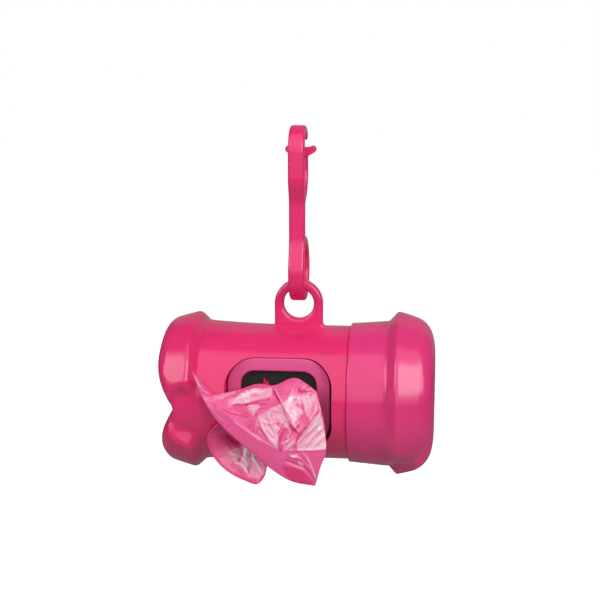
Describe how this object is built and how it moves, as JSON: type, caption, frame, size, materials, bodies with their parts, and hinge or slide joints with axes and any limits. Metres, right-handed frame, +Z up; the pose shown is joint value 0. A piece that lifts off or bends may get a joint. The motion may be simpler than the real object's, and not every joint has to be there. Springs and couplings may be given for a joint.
{
  "type": "dog waste bag dispenser",
  "caption": "Bone-shaped plastic dispenser for rolled waste bags, with a screw cap, a slit window that the next bag hangs from, and a moulded snap clip.",
  "frame": {"origin": "centre of the clip's hook seat, where a leash ring or belt loop lies", "axes": "+X along the tube towards the screw cap, which is the hook seat's axis too, -Y out of the window, +Z up as it hangs"},
  "size_m": [0.0816, 0.0503, 0.1046],
  "materials": {
    "shell": "gloss",
    "trim": "gloss",
    "clip": "gloss",
    "membrane": "matte",
    "core": "matte",
    "film": "satin",
    "loose_film": "satin"
  },
  "bodies": {
    "clip": {"clip_frame": "clip"},
    "gate": {"clip_gate": "clip"},
    "housing": {"body_shell": "shell", "window_bezel": "trim", "slit_membrane": "membrane"},
    "cap": {"screw_cap": "trim"},
    "roll": {"roll_core": "core", "bag_roll": "film"},
    "bag": {"lead_bag": "loose_film", "bag_neck": "loose_film"}
  },
  "joints": [
    {"name": "gate_flex", "type": "hinge", "parent": "clip", "child": "gate", "pos_m": [0, -0.0002, -0.01385], "axis": [1, 0, 0], "range_deg": [0, 26], "stiffness_Nm_per_rad": 0.1, "springref_deg": -2.86},
    {"name": "link_swing", "type": "hinge", "parent": "clip", "child": "housing", "pos_m": [0, 0.0015, -0.0354], "axis": [1, 0, 0], "range_deg": [-85, 85]},
    {"name": "cap_pull", "type": "slide", "parent": "housing", "child": "cap", "axis": [1, 0, 0], "range_m": [0, 0.03]},
    {"name": "roll_spin", "type": "hinge", "parent": "housing", "child": "roll", "pos_m": [0, 0.0041, -0.074], "axis": [1, 0, 0], "range_deg": [0, 81]},
    {"name": "bag_pull", "type": "slide", "parent": "housing", "child": "bag", "axis": [0, -1, 0], "range_m": [0, 0.02], "deforming": ["bag_neck"]}
  ],
  "couplings": [
    {"joint": "bag_pull", "follows": "roll_spin", "m_per_rad": 0.014}
  ]
}
